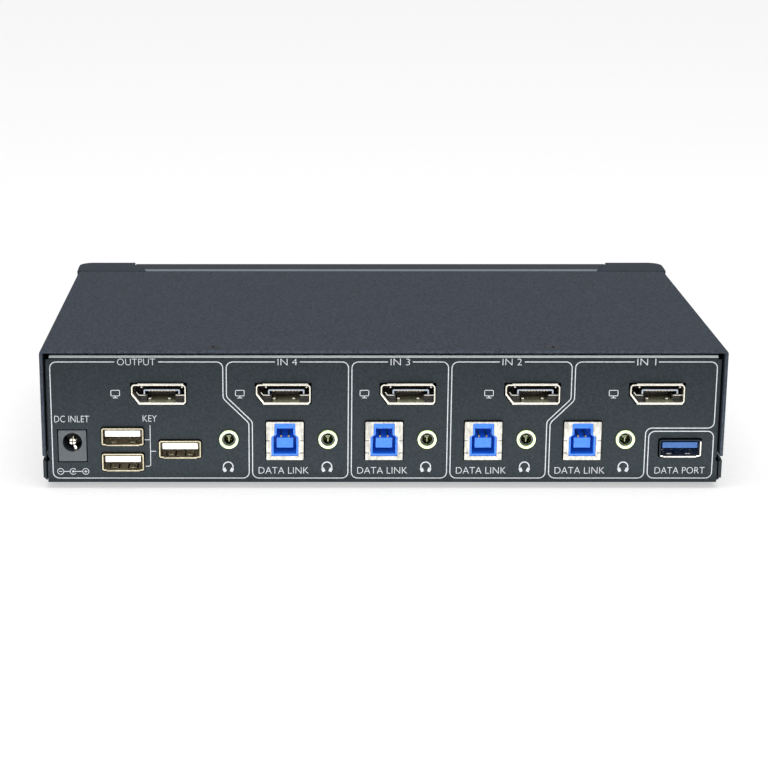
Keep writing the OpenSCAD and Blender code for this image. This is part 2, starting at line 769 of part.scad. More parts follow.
// Flat cable: straight back from the front board, then down to the main board
module ribbon_cable() {
    y0 = front_board_y + board_t + ribbon_socket_d;
    z0 = board_top + ribbon_socket_h;
    h = ribbon_t / 2;
    y1 = ribbon_drop_y;
    color(white_plastic) along_x(ribbon_x - ribbon_w / 2, ribbon_x + ribbon_w / 2)
        polygon(rounded([
            [y0, ribbon_z - h], [y1 - h, ribbon_z - h], [y1 - h, z0], [y1 + h, z0],
            [y1 + h, ribbon_z + h], [y0, ribbon_z + h]], [0, 1.5, 0, 0, 1.5 + ribbon_t, 0], 6));
}

module ribbon_sockets() {
    w = ribbon_w / 2 + 2;
    y0 = front_board_y + board_t;
    color(white_plastic) {
        block([ribbon_x - w, y0, ribbon_z - 1.6], [ribbon_x + w, y0 + ribbon_socket_d, ribbon_z + 1.6]);
        block([ribbon_x - w, ribbon_drop_y - 1.6, board_top],
              [ribbon_x + w, ribbon_drop_y + 1.6, board_top + ribbon_socket_h]);
    }
}

capacitor_places = [
    [stud_x[2], main_rear_y - 31.5], [stud_x[2] - 10, main_rear_y - 31.5],
    [stud_x[2], (stud_y[0] + stud_y[1]) / 2 + 12], [stud_x[0] + 14, stud_y[1] - 10]
];
chip_t = 1.4;
video_chip_x = [-62, -22, 30];
video_chip_y = main_rear_y - 29;
video_chip_w = 15;
sink_w = 22;
sink_d = 16;
sink_base = 2;
sink_h = 9;
sink_fins = 6;
fin_t = 1;

module video_chips() {
    color(black_plastic) for (x = video_chip_x)
        translate([x, video_chip_y, video_top + chip_t / 2])
            cube([video_chip_w, video_chip_w, chip_t], center = true);
}

module heat_sinks() {
    pitch = (sink_w - fin_t) / (sink_fins - 1);
    color([0.15, 0.15, 0.16]) for (x = video_chip_x) translate([x, video_chip_y, video_top + chip_t]) {
        translate([0, 0, sink_base / 2]) cube([sink_w, sink_d, sink_base], center = true);
        for (k = [0:sink_fins - 1])
            translate([-sink_w / 2 + fin_t / 2 + k * pitch, 0, sink_h / 2])
                cube([fin_t, sink_d, sink_h], center = true);
    }
}

module main_chips() {
    color(black_plastic) for (p = [[-70, -12, 12], [-30, -18, 10], [34, -14, 12], [68, -22, 8], [88, 14, 8]])
        translate([p[0], p[1], board_top + chip_t / 2]) cube([p[2], p[2], chip_t], center = true);
}

module capacitors() {
    color([0.12, 0.13, 0.16]) for (p = capacitor_places)
        translate([p[0], p[1], board_top]) {
            translate([0, 0, 0.5]) cube([8.6, 8.6, 1], center = true);
            translate([0, 0, 1 - eps]) cylinder(h = 9, d = 8);
        }
}

// ---------- rear sockets ----------

// Metal tabs that stand a shell on its board
module tabs(x, z, z0, y0, y1, w) {
    for (s = [-1, 1], y = [y0 + 3, y1 - 6])
        block([x + s * w - 0.6, y, z0], [x + s * w + 0.6, y + 2, z]);
}

module video_shell(k) {
    x = video_x(k);
    low = video_z - video_h / 2;
    y0 = face_y - video_l;
    color(nickel) union() {
        difference() {
            along_y(x, video_z, y0, face_y) polygon(video_pts(0));
            along_y(x, video_z, y0 - 1, face_y + 1) polygon(video_pts(-shell_t));
        }
        // sprung bumps that hold a plug
        for (s = [-1, 1])
            translate([x - video_tongue_off + s * 2.9, face_y - 4.5, low + shell_t - 0.15])
                rotate([0, 90, 0]) cylinder(h = 1.2, r = 0.5, center = true);
        tabs(x, low + 0.1, video_top, y0, panel_in_y, 5);
    }
}

// Black lining of a video socket with its hooded tongue
module video_inserts() {
    clear = shell_t + 0.05;
    tongue_y = face_y - 1.6;
    back_y = face_y - 10;
    color(black_plastic) for (k = [0:4]) {
        x = video_x(k);
        tx = x - video_tongue_off;
        w = video_tongue_w / 2;
        z1 = video_z + 1.2;
        difference() {
            union() {
                along_y(x, video_z, face_y - video_l, back_y) polygon(video_pts(-clear));
                block([tx - w, back_y - 1, z1 - 1.45], [tx + w, tongue_y, z1]);
                // low blocks at both sides of the cavity
                intersection() {
                    along_y(x, video_z, back_y - 1, face_y - 3.2) polygon(video_pts(-clear));
                    union() {
                        block([x - video_w, back_y - 1, 0], [tx - 4.2, face_y, video_z - 0.9]);
                        block([tx + 4.8, back_y - 1, 0], [x + video_w, face_y, video_z - 0.9]);
                    }
                }
            }
            // contact slots below the tongue
            block([tx - w + 0.5, back_y, z1 - 2], [tx + w - 0.5, tongue_y + 1, z1 - 0.5]);
        }
    }
}

module host_shell(k) {
    x = host_x(k);
    low = host_z - host_h / 2;
    y0 = face_y - host_l;
    t = shell_t;
    color(nickel) union() {
        difference() {
            along_y(x, host_z, y0, face_y) polygon(host_pts(0));
            along_y(x, host_z, y0 - 1, face_y - host_face_t) polygon(host_pts(-t));
            along_y(x, host_z, y0 - 1, face_y + 1) polygon(mouth_pts(0));
            // side slots where the front plate folds into the walls
            for (s = [-1, 1], z = [-4, 0.1])
                block([x + s * (host_w / 2 - 0.5) - 0.6, face_y - 0.9, host_z + z - 0.12],
                      [x + s * (host_w / 2 - 0.5) + 0.6, face_y + 1, host_z + z + 0.12]);
        }
        tabs(x, low + 0.1, board_top, y0, panel_in_y, 4);
    }
}

host_tongue_w = 5.3;
host_tongue_z = [-2.5, 0.8];
host_upper_z = [4.1, 5.9];

// Blue lining of a host socket: a mouth tube, the lower tongue and the upper bridge
module host_inserts() {
    face = face_y - 0.25;
    back = face_y - 9;
    color(blue_plastic) for (k = [0:3]) {
        x = host_x(k);
        difference() {
            union() {
                along_y(x, host_z, face_y - host_l, face_y - host_face_t - 0.05)
                    polygon(host_pts(-shell_t - 0.05));
                along_y(x, host_z, face - 2, face) polygon(mouth_pts(-0.05));
            }
            difference() {
                along_y(x, host_z, back, face_y + 1) polygon(mouth_pts(-host_rim));
                block([x - host_tongue_w / 2, back - 1, host_z + host_tongue_z[0]],
                      [x + host_tongue_w / 2, face - 0.8, host_z + host_tongue_z[1]]);
                block([x - host_tongue_w / 2, back - 1, host_z + host_upper_z[0]],
                      [x + host_tongue_w / 2, face - 0.3, host_z + host_upper_z[1]]);
            }
        }
    }
}

spring_x = 3;
spring_w = 2.4;
spring_slot_w = 0.5;
spring_y = [7.5, 2];
spring_bump_r = 0.45;

// One flat socket: shell tube open at the front, with two sprung fingers cut free in its lower wall
module flat_shell(x, z, y0, y1) {
    low = z - flat_h / 2;
    slot = [spring_slot_w, spring_y[0] - spring_y[1], 2.4 * shell_t];
    slot_y = y1 - (spring_y[0] + spring_y[1]) / 2;
    difference() {
        along_y(x, z, y0, y1) polygon(flat_pts(0));
        along_y(x, z, y0 - 1, y1 + 1) polygon(flat_pts(-shell_t));
        for (s = [-1, 1], t = [-1, 1])
            translate([x + s * spring_x + t * (spring_w + spring_slot_w) / 2, slot_y, low])
                cube(slot, center = true);
    }
    for (s = [-1, 1])
        translate([x + s * spring_x, y1 - spring_y[1] - 1, low + shell_t - 0.15])
            rotate([0, 90, 0]) cylinder(h = spring_w - 0.8, r = spring_bump_r, center = true);
}

flat_tongue_w = 11.3;
flat_tongue_t = 1.9;
flat_back = 9;

// Tongue and rear block of a flat socket
module flat_insert(x, z, y0, y1) {
    top = z + flat_h / 2 - shell_t - 0.65;
    w = flat_tongue_w / 2;
    along_y(x, z, y0, y1 - flat_back) polygon(flat_pts(-shell_t - 0.05));
    difference() {
        block([x - w, y1 - flat_back - 1, top - flat_tongue_t], [x + w, y1 - 0.8, top]);
        for (k = [-1.5:1.5])
            block([x + k * 2.4 - 0.65, y1 - flat_back, top - flat_tongue_t - 1],
                  [x + k * 2.4 + 0.65, y1 - 1.6, top - flat_tongue_t + 0.35]);
    }
}

module pair_shell() {
    y0 = face_y - flat_l;
    x0 = pair_x - flat_w / 2;
    x1 = pair_x + flat_w / 2;
    color(nickel) union() {
        for (z = pair_z)
            flat_shell(pair_x, z, y0, face_y);
        // web between the two tubes, behind the panel, and ears that sit on the board
        block([x0 + 0.6, y0, pair_z[0] + flat_h / 2 - 0.1],
              [x1 - 0.6, panel_in_y - 0.3, pair_z[1] - flat_h / 2 + 0.1]);
        for (s = [-1, 1])
            block([s < 0 ? x0 - 1.8 : x1 - 0.1, y0 + 3, board_top],
                  [s < 0 ? x0 + 0.1 : x1 + 1.8, y0 + 8, board_top + 0.5]);
    }
}

module pair_insert() {
    color(white_plastic) for (z = pair_z)
        flat_insert(pair_x, z, face_y - flat_l, face_y);
}

module flat_port(x, z, y1, l) {
    color(nickel) union() {
        flat_shell(x, z, y1 - l, y1);
        tabs(x, z - flat_h / 2 + 0.1, board_top, y1 - l, panel_in_y, 4);
    }
}

module single_shell() { flat_port(single_x, single_z, face_y, flat_l); }
module fast_shell() { flat_port(fast_x, fast_z, face_y, flat_l); }
module single_insert() { color(white_plastic) flat_insert(single_x, single_z, face_y - flat_l, face_y); }
module fast_insert() { color(blue_plastic) flat_insert(fast_x, fast_z, face_y - flat_l, face_y); }

// Ports on the front edge of the main board, turned to face -Y
module front_turn(x) {
    translate([x, fascia_y - 0.1, front_port_z]) rotate([0, 0, 180]) children();
}

module front_port_shells() {
    color(nickel) for (x = front_port_x) {
        front_turn(x) flat_shell(0, 0, -front_port_l, 0);
        for (s = [-1, 1])
            block([x + s * 4 - 0.6, main_front_y + 1, board_top],
                  [x + s * 4 + 0.6, main_front_y + 4, front_port_z - flat_h / 2 + 0.1]);
    }
}

module front_port_inserts() {
    for (k = [0, 1])
        color(k == 0 ? white_plastic : blue_plastic)
            front_turn(front_port_x[k]) flat_insert(0, 0, -front_port_l, 0);
}

jack_mouth_l = 0.9;
jack_mouth_step = 1;

module audio_jack(k) {
    x = audio_x(k);
    nose_y = panel_y + jack_out;
    body_y = panel_in_y - 0.4;
    back_y = body_y - jack_l;
    color(lime_plastic) difference() {
        union() {
            bar_y(x, jack_z, body_y - 1, nose_y, jack_nose_d);
            block([x - jack_body_w / 2, back_y, board_top],
                  [x + jack_body_w / 2, body_y, jack_z + jack_nose_d / 2 + 0.6]);
        }
        bar_y(x, jack_z, nose_y - jack_bore_l, nose_y + 1, jack_bore_d);
        bar_y(x, jack_z, back_y + 1, nose_y - jack_bore_l + eps, jack_cavity_d);
        // wider mouth of the nose
        bar_y(x, jack_z, nose_y - jack_mouth_l, nose_y + 1, jack_bore_d + jack_mouth_step);
    }
}

// Spring contacts of all sockets
module socket_contacts() {
    color(gold) {
        for (k = [0:4]) {
            // audio: two leaf springs in the wide part of the bore
            nose_y = panel_y + jack_out;
            for (s = [-1, 1])
                block([audio_x(k) + s * 1.7 - 0.15, nose_y - jack_bore_l - 5.5, jack_z - 0.7],
                      [audio_x(k) + s * 1.7 + 0.15, nose_y - jack_bore_l - 0.5, jack_z + 0.7]);
            // video: a row of contacts in the hooded tongue
            for (j = [-4:4])
                translate([video_x(k) - video_tongue_off + j, face_y - 6, video_z + 0.55])
                    cube([0.4, 7.6, 0.3], center = true);
        }
        for (k = [0:3]) {
            // host: two pins on top of the tongue and two strips below it
            for (s = [-1, 1]) {
                block([host_x(k) + s * 1.2 - 0.25, face_y - 9, host_z + host_tongue_z[1]],
                      [host_x(k) + s * 1.2 + 0.25, face_y - 2, host_z + host_tongue_z[1] + 0.4]);
                block([host_x(k) + s * 1.2 - 0.4, face_y - 8.8, host_z + host_tongue_z[0] - 0.2],
                      [host_x(k) + s * 1.2 + 0.4, face_y - 2.4, host_z + host_tongue_z[0]]);
            }
        }
        for (p = [[pair_x, pair_z[0]], [pair_x, pair_z[1]], [single_x, single_z], [fast_x, fast_z]])
            flat_contacts(p[0], p[1], face_y);
        for (x = front_port_x)
            front_turn(x) flat_contacts(0, 0, 0);
    }
}

// Four strips in the slots under a flat tongue
module flat_contacts(x, z, y1) {
    low = z + flat_h / 2 - shell_t - 0.65 - flat_tongue_t;
    for (k = [-1.5:1.5])
        block([x + k * 2.4 - 0.5, y1 - flat_back, low], [x + k * 2.4 + 0.5, y1 - 2, low + 0.35]);
}

module power_jack() {
    y0 = panel_y - power_l;
    zc = power_low_z + power_h / 2;
    color(black_plastic) difference() {
        along_y(power_x, zc, y0, panel_y) polygon(rounded(box_pts(power_w, power_h), 0.3));
        bar_y(power_x, power_z, panel_y - power_bore_l, panel_y + 1, power_bore_d);
        bar_y(power_x, power_z, y0 - 1, panel_y, power_pin_d - 0.4);
    }
}

module power_pin() {
    color(nickel) union() {
        bar_y(power_x, power_z, panel_y - power_bore_l, panel_y - power_pin_back, power_pin_d);
        bar_y(power_x, power_z, panel_y - power_l, panel_y - power_bore_l + eps, power_pin_d - 0.6);
    }
}

base_tray();
top_cover();
front_bezel();
front_fascia();
rubber_feet();
cover_screws();
bezel_screws();
board_studs();
board_screws();
board_spacers();
main_board();
video_board();
front_board();
front_board_screws();
link_plug();
link_socket();
ribbon_cable();
ribbon_sockets();
video_chips();
heat_sinks();
main_chips();
capacitors();
for (k = [0:4])
    video_shell(k);
video_inserts();
for (k = [0:3])
    host_shell(k);
host_inserts();
pair_shell();
pair_insert();
single_shell();
single_insert();
fast_shell();
fast_insert();
for (k = [0:4])
    audio_jack(k);
socket_contacts();
power_jack();
power_pin();
front_port_shells();
front_port_inserts();
for (k = [0:3])
    select_button(k);
for (k = [0:3])
    switch_plunger(k);
switch_bodies();
status_lights();
light_pipes();
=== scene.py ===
"""Visual model of a four-way desktop switch box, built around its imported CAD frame."""

import json
import math

import bmesh
import bpy
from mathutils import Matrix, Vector


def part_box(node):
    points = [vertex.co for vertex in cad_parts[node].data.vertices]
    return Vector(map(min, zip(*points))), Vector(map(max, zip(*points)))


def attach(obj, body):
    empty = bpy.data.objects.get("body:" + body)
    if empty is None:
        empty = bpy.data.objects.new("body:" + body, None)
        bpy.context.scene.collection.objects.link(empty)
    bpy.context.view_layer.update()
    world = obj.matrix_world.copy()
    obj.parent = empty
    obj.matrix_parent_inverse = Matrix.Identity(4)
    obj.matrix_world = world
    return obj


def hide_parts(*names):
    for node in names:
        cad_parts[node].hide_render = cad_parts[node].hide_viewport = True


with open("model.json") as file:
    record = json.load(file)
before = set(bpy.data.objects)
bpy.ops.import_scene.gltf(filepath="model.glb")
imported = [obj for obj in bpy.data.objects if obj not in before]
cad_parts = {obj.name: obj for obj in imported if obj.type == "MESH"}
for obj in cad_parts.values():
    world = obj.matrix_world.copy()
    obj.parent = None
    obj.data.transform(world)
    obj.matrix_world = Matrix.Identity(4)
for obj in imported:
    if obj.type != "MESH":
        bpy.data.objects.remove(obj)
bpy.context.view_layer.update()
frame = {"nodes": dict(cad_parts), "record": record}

MM = 0.001
CASE = "case"

# ---------------------------------------------------------------- places taken from the frame


def low(node):
    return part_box(node)[0]


def high(node):
    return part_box(node)[1]


def middle(node):
    return (low(node) + high(node)) / 2


mount = {m["name"]: Vector(m["pos_m"]) for m in frame["record"]["mounts"]}

PANEL_Y = high("base_tray").y
FACE_Y = high("video_shell_1").y
TRAY_LOW = low("base_tray").z
TRAY_TOP = high("base_tray").z
SIDE_X = high("top_cover").x
NOSE_Y = high("audio_jack_1").y
FASCIA_Y = low("front_fascia").y
VIDEO = [mount[f"video_{k}"] for k in range(1, 6)]
AUDIO = [mount[f"audio_{k}"] for k in range(1, 6)]
HOST = [mount[f"host_{k}"] for k in range(1, 5)]
POWER = mount["power_pin"]


# ---------------------------------------------------------------- camera and light


CAMERA_AT = (0.02624, 0.68809, 0.20823)
CAMERA_DIP = math.radians(15.515)
LENS_MM = 94.5515625
SENSOR_MM = 36
SIDE_SHIFT = 0.1073958333


def camera():
    """Long lens behind and above the box, with the small sideways shift of the view's framing."""
    bpy.ops.object.camera_add(location=CAMERA_AT)
    cam = bpy.context.object
    cam.name = "view_camera"
    cam.rotation_euler = (math.pi / 2 - CAMERA_DIP, 0, math.pi)
    cam.data.sensor_width = SENSOR_MM
    cam.data.lens = LENS_MM
    cam.data.shift_x = SIDE_SHIFT
    cam.data.clip_start = 0.01
    bpy.context.scene.camera = cam


def soft_box(name, place, aim, size, watts):
    bpy.ops.object.light_add(type="AREA", location=place)
    lamp = bpy.context.object
    lamp.name = name
    lamp.data.shape = "RECTANGLE"
    lamp.data.size, lamp.data.size_y = size
    lamp.data.energy = watts
    lamp.rotation_euler = (Vector(aim) - Vector(place)).to_track_quat("-Z", "Y").to_euler()
    return lamp


def linear(hex_colour):
    """sRGB hex to linear RGBA."""
    channels = [int(hex_colour[i:i + 2], 16) / 255 for i in (1, 3, 5)]
    return tuple(c / 12.92 if c <= 0.04045 else ((c + 0.055) / 1.055) ** 2.4 for c in channels) + (1,)


def studio():
    """White light table with a broad overhead light, a strip above and a bank before the socket panel."""
    world = bpy.data.worlds.new("studio_world")
    bpy.context.scene.world = world
    world.use_nodes = True
    world.node_tree.nodes["Background"].inputs["Color"].default_value = linear("#ffffff")
    world.node_tree.nodes["Background"].inputs["Strength"].default_value = 0.4
    bpy.ops.object.light_add(type="SUN", location=(0, 0, 1.5), rotation=(math.radians(-8), 0, 0))
    sun = bpy.context.object
    sun.name = "overhead_light"
    sun.data.energy = 2.0
    sun.data.angle = math.radians(75)
    heart = (0, 0, 0.03)
    soft_box("overhead_strip", (0, 0.28, 1.05), heart, (1.2, 0.28), 4.2)
    soft_box("front_bank", (0, 1.25, 0.62), heart, (1.4, 0.4), 7)
    card = soft_box("bounce_card", (0, 0.110, 0.001), (0, 0.110, 1), (0.30, 0.080), 0.2)
    card.visible_camera = False
    bpy.ops.mesh.primitive_plane_add(size=8, location=(0, 0, 0))
    floor = bpy.context.object
    floor.name = "studio_floor"
    floor.data.materials.append(light_table())
    bpy.context.scene.view_settings.view_transform = "Standard"


# ---------------------------------------------------------------- materials


def node(tree, kind, links=(), **settings):
    """Adds a shader node, sets what is named and links (input, from_node, output) to it."""
    made = tree.nodes.new(kind)
    for name, value in settings.items():
        if hasattr(made, name):
            setattr(made, name, value)
        else:
            made.inputs[name.replace("_", " ")].default_value = value
    for socket, source, output in links:
        tree.links.new(source.outputs[output], made.inputs[socket])
    return made


def textured(name, shades, grain, relief, rough, metallic=0.0, ior=1.5, stretch=(1, 1, 1), broad=12):
    """A moulded, coated or drawn surface: grain (mm) gives relief and shade, a broad mottle shifts gloss."""
    mat = bpy.data.materials.new(name)
    mat.use_nodes = True
    tree = mat.node_tree
    shader = tree.nodes["Principled BSDF"]
    shader.inputs["Roughness"].default_value = rough[0]
    shader.inputs["Metallic"].default_value = metallic
    if not metallic:
        shader.inputs["IOR"].default_value = ior
    place = node(tree, "ShaderNodeTexCoord")
    along = node(tree, "ShaderNodeMapping", [("Vector", place, "Object")], Scale=stretch)
    fine = node(tree, "ShaderNodeTexNoise", [("Vector", along, "Vector")], Scale=1 / (grain * MM), Detail=2)
    wide = node(tree, "ShaderNodeTexNoise", [("Vector", along, "Vector")], Scale=1 / (broad * MM), Detail=3)
    spread = node(tree, "ShaderNodeMapRange", [("Value", fine, "Fac")])
    spread.inputs["From Min"].default_value = 0.36
    spread.inputs["From Max"].default_value = 0.64
    blend = node(tree, "ShaderNodeMix", [("Factor", spread, "Result")], data_type="RGBA")
    blend.inputs[6].default_value = linear(shades[0])
    blend.inputs[7].default_value = linear(shades[1])
    gloss = node(tree, "ShaderNodeMapRange", [("Value", wide, "Fac")])
    gloss.inputs["From Min"].default_value = 0.35
    gloss.inputs["From Max"].default_value = 0.65
    gloss.inputs["To Min"].default_value, gloss.inputs["To Max"].default_value = rough
    bump = node(tree, "ShaderNodeBump", [("Height", fine, "Fac")], Strength=0.5, Distance=relief * MM)
    tree.links.new(blend.outputs[2], shader.inputs["Base Color"])
    tree.links.new(gloss.outputs["Result"], shader.inputs["Roughness"])
    tree.links.new(bump.outputs["Normal"], shader.inputs["Normal"])
    return mat, shader


def shade_past(mat, axis, start, shade, fade=0.15):
    """Paints light or shade into the coat: another shade past a level on one axis, over a fade in mm."""
    tree = mat.node_tree
    shader = tree.nodes["Principled BSDF"]
    coat = shader.inputs["Base Color"].links[0].from_node
    place = node(tree, "ShaderNodeTexCoord")
    split = node(tree, "ShaderNodeSeparateXYZ", [("Vector", place, "Object")])
    past = node(tree, "ShaderNodeMapRange", [("Value", split, axis)])
    past.inputs["From Min"].default_value = start
    past.inputs["From Max"].default_value = start + fade * MM
    blend = node(tree, "ShaderNodeMix", [("Factor", past, "Result")], data_type="RGBA")
    tree.links.new(coat.outputs[2], blend.inputs[6])
    blend.inputs[7].default_value = linear(shade)
    tree.links.new(blend.outputs[2], shader.inputs["Base Color"])


# White acrylic sheet that glows a little, so the shadow on it stays pale.
def light_table():
    mat, shader = textured("opal_acrylic", ("#a5a5a5", "#a9a9a9"), 2, 0.01, (0.85, 0.95))
    shader.inputs["Emission Color"].default_value = linear("#ffffff")
    shader.inputs["Emission Strength"].default_value = 0.5
    return mat


# Powder coat: polyester paint baked on steel, a dry fine grit that breaks every highlight up.
def powder_coat_slate():
    mat, shader = textured("powder_coat_slate", ("#1f252d", "#303843"), 0.9, 0.05, (0.65, 0.69))
    shader.inputs["Specular IOR Level"].default_value = 0.24
    return mat


# The same coat on the tray, rolled smoother, so its upright face picks up light from the table. A pale band
# on the top fold is a painted highlight, and the fold's upper side, under the cover, is painted dark as
# painted shade.
def powder_coat_panel():
    mat, shader = textured("powder_coat_panel", ("#0f1316", "#1b2024"), 0.8, 0.03, (0.47, 0.51))
    shader.inputs["Specular IOR Level"].default_value = 0.26
    shader.inputs["Specular Tint"].default_value = linear("#dcecf4")
    shade_past(mat, "Z", TRAY_TOP - 0.85 * MM, "#c6d1cf")
    shade_past(mat, "Z", TRAY_TOP - 0.2 * MM, "#0f1316")
    return mat


# Moulded ABS: spark-eroded mould texture, even and silky, so the bezel looks soft beside the paint.
def abs_slate():
    mat, shader = textured("abs_spark_texture_slate", ("#171d27", "#232c38"), 0.6, 0.015, (0.6, 0.64))
    shader.inputs["Specular IOR Level"].default_value = 0.28
    return mat


# Satin ABS of the front plate: flatter than the bezel, with a painted highlight, a paler band, along the
# lip's top edge.
def abs_front_plate():
    mat, shader = textured("abs_satin_slate", ("#1b2027", "#262c34"), 0.6, 0.01, (0.53, 0.57))
    shader.inputs["Specular IOR Level"].default_value = 0.25
    shade_past(mat, "Y", high("front_fascia").y - 0.6 * MM, "#646b72")
    return mat


# Fine matt ABS: a shade lighter than the plate, so the buttons stand out from it.
def abs_button():
    return textured("abs_fine_matt_grey", ("#3b3f45", "#474b52"), 0.5, 0.008, (0.42, 0.5))[0]


# Nitrile rubber: dull and nearly black, with a dusty bloom.
def foot_rubber():
    return textured("nitrile_rubber_black", ("#141416", "#212123"), 0.9, 0.02, (0.78, 0.92))[0]


# Black oxide on steel screws: oily dark metal.
def black_oxide():
    return textured("black_oxide_steel", ("#242932", "#363d48"), 0.4, 0.004, (0.3, 0.42), metallic=1.0)[0]


# Zinc plate on steel: a cold pale grey with a soft gloss.
def zinc_steel():
    return textured("zinc_plated_steel", ("#a9abad", "#c9cbcd"), 0.5, 0.003, (0.25, 0.38), metallic=1.0)[0]


# Turned brass: fine rings round the bar.
def turned_brass():
    return textured("turned_brass", ("#b08a45", "#d3ae63"), 0.3, 0.004, (0.22, 0.34), metallic=1.0,
                    stretch=(0.3, 0.3, 1))[0]


# Bright nickel on drawn steel: near-white rims, warm brown where it mirrors the inside of the socket.
def bright_nickel():
    return textured("bright_nickel_plate", ("#bdb9ac", "#d6d2c6"), 0.5, 0.002, (0.26, 0.38), metallic=1.0,
                    stretch=(1, 0.15, 1))[0]


# Satin nickel of the square shells: drawn, a little grey, with faint streaks.
def satin_nickel():
    return textured("satin_nickel_plate", ("#8d8b85", "#aaa8a1"), 0.8, 0.003, (0.3, 0.44), metallic=1.0,
                    stretch=(1, 0.15, 0.4))[0]


# Satin nickel of the fast port: painted shade darkens its upper and outer walls, which lie in the shade of
# the panel's cut edge, and leaves two bright rims.
def shaded_nickel():
    mat = textured("satin_nickel_painted_shade", ("#b4b2aa", "#cfccc4"), 0.8, 0.003, (0.3, 0.44), metallic=1.0,
                   stretch=(1, 0.15, 0.4))[0]
    shade_past(mat, "Z", high("fast_shell").z - 0.6 * MM, "#20262a", 0.05)
    shade_past(mat, "X", high("fast_shell").x - 0.6 * MM, "#20262a", 0.05)
    return mat


# Tin on brass: the same plate a shade yellower, dulled by handling.
def warm_tin():
    return textured("tin_plated_brass", ("#87806c", "#a19a86"), 0.5, 0.003, (0.26, 0.38), metallic=1.0,
                    stretch=(1, 0.15, 1))[0]


# The drawn sleeve and the springs inside a bore: nickel gone olive-grey where no plug polishes it.
def worn_sleeve():
    return textured("worn_nickel_sleeve", ("#6d705c", "#8b8e78"), 0.4, 0.003, (0.3, 0.42), metallic=1.0)[0]


# The lower wall of a video shell: brushed dull so that plugs slide, it scatters light up the socket.
def brushed_nickel():
    return textured("brushed_nickel_plate", ("#8a8c74", "#adaf98"), 0.35, 0.004, (0.5, 0.62), metallic=0.6,
                    stretch=(1, 0.2, 1))[0]


# Gold flash over phosphor bronze: soft yellow blades.
def gold_flash():
    return textured("gold_flash_contact", ("#c49a45", "#e3c274"), 0.3, 0.001, (0.2, 0.3), metallic=1.0)[0]


# Silver on spring bronze: the brightest small glints inside the sockets.
def silver_spring():
    return textured("silver_plated_spring", ("#b4b1a7", "#cfccc2"), 0.3, 0.001, (0.18, 0.3),
                    metallic=1.0)[0]


# Liquid crystal polymer: black, flow-marked, glossy on its moulded edges.
def lcp_black():
    return textured("lcp_black", ("#141416", "#1e1e20"), 0.5, 0.004, (0.28, 0.38))[0]


# The same polymer, pale grey and glossy, for the tongue's rim: a painted highlight along the rim's edge.
def lcp_edge():
    return textured("lcp_painted_edge_highlight", ("#7e8794", "#99a1ad"), 0.4, 0.003, (0.3, 0.4))[0]


# Dark grey PBT of the power jack: duller and lighter than the polymer in the video sockets.
def jack_housing():
    return textured("pbt_dark_grey", ("#272d31", "#32393e"), 0.5, 0.008, (0.4, 0.5))[0]


# White PBT: bright, slightly waxy.
def pbt_white():
    mat, shader = textured("pbt_white", ("#e8e6df", "#f4f2ec"), 0.6, 0.003, (0.35, 0.45))
    shader.inputs["Subsurface Weight"].default_value = 0.1
    shader.inputs["Subsurface Radius"].default_value = (0.0006, 0.0005, 0.0004)
    return mat


# Blue PBT: light passes a little way into it, so its lit faces turn paler; a painted blue glow lightens it,
# its hollows too.
def pbt_blue(name, shades, depth):
    mat, shader = textured(name, shades, 0.6, 0.003, (0.3, 0.4))
    shader.inputs["Subsurface Weight"].default_value = 0.15
    shader.inputs["Subsurface Radius"].default_value = (0.0002, 0.0004, 0.0010)
    shader.inputs["Specular IOR Level"].default_value = 0.4
    # Painted light: the emission is a faint blue glow, its strength given by depth.
    shader.inputs["Emission Color"].default_value = linear("#1450c8")
    shader.inputs["Emission Strength"].default_value = depth
    return mat


# Lime PBT of the audio nose: pale and milky, greener towards its edge.
def pbt_lime():
    mat, shader = textured("pbt_milky_lime", ("#d6f2a6", "#e6fac4"), 0.6, 0.003, (0.3, 0.4))
    shader.inputs["Subsurface Weight"].default_value = 0.25
    shader.inputs["Subsurface Radius"].default_value = (0.0006, 0.0010, 0.0004)
    return mat


# Polyester film of the flat cable: white, smooth, faintly blue.
def polyester_film():
    return textured("polyester_film", ("#d9dde2", "#eef0f2"), 0.8, 0.002, (0.22, 0.32))[0]


# Solder mask: green lacquer over copper tracks, which show as raised lighter lines.
def solder_mask():
    mat, shader = textured("solder_mask_green", ("#0f3a26", "#15492f"), 0.5, 0.002, (0.25, 0.35))
    tree = mat.node_tree
    place = node(tree, "ShaderNodeTexCoord")
    tracks = node(tree, "ShaderNodeTexBrick", [("Vector", place, "Object")], Scale=1 / (4 * MM))
    tracks.inputs["Color1"].default_value = linear("#10402a")
    tracks.inputs["Color2"].default_value = linear("#0e3824")
    tracks.inputs["Mortar"].default_value = linear("#2a6a48")
    tracks.inputs["Mortar Size"].default_value = 0.03
    tree.links.new(tracks.outputs["Color"], shader.inputs["Base Color"])
    return mat


# Epoxy of the chips: black and flat, with a coarse moulded grain.
def epoxy_resin():
    return textured("epoxy_moulding_compound", ("#161617", "#232324"), 0.35, 0.008, (0.5, 0.62))[0]


# Black anodised aluminium of the heat sinks: dark, with a metal's sheen along each fin.
def black_anodised():
    return textured("black_anodised_aluminium", ("#1c1d1f", "#2a2b2e"), 0.4, 0.004, (0.35, 0.45),
                    metallic=0.8)[0]


# Aluminium can of the capacitors: bright and cold.
def can_sleeve():
    return textured("aluminium_can_sleeve", ("#8f9297", "#b4b7bc"), 0.5, 0.003, (0.25, 0.36),
                    metallic=1.0)[0]


# Clear acrylic rod: sharp gloss, see-through, a ring of light at its rim.
def clear_acrylic():
    mat, shader = textured("clear_acrylic", ("#e6eef0", "#f2f7f8"), 1, 0.001, (0.05, 0.1), ior=1.49)
    shader.inputs["Transmission Weight"].default_value = 0.6
    return mat


# Screen-printed ink: flat white with the weave of the screen just breaking its edge.
def screen_ink():
    return textured("screen_print_white", ("#9ca0a3", "#b5b8bb"), 0.35, 0.004, (0.6, 0.75))[0]


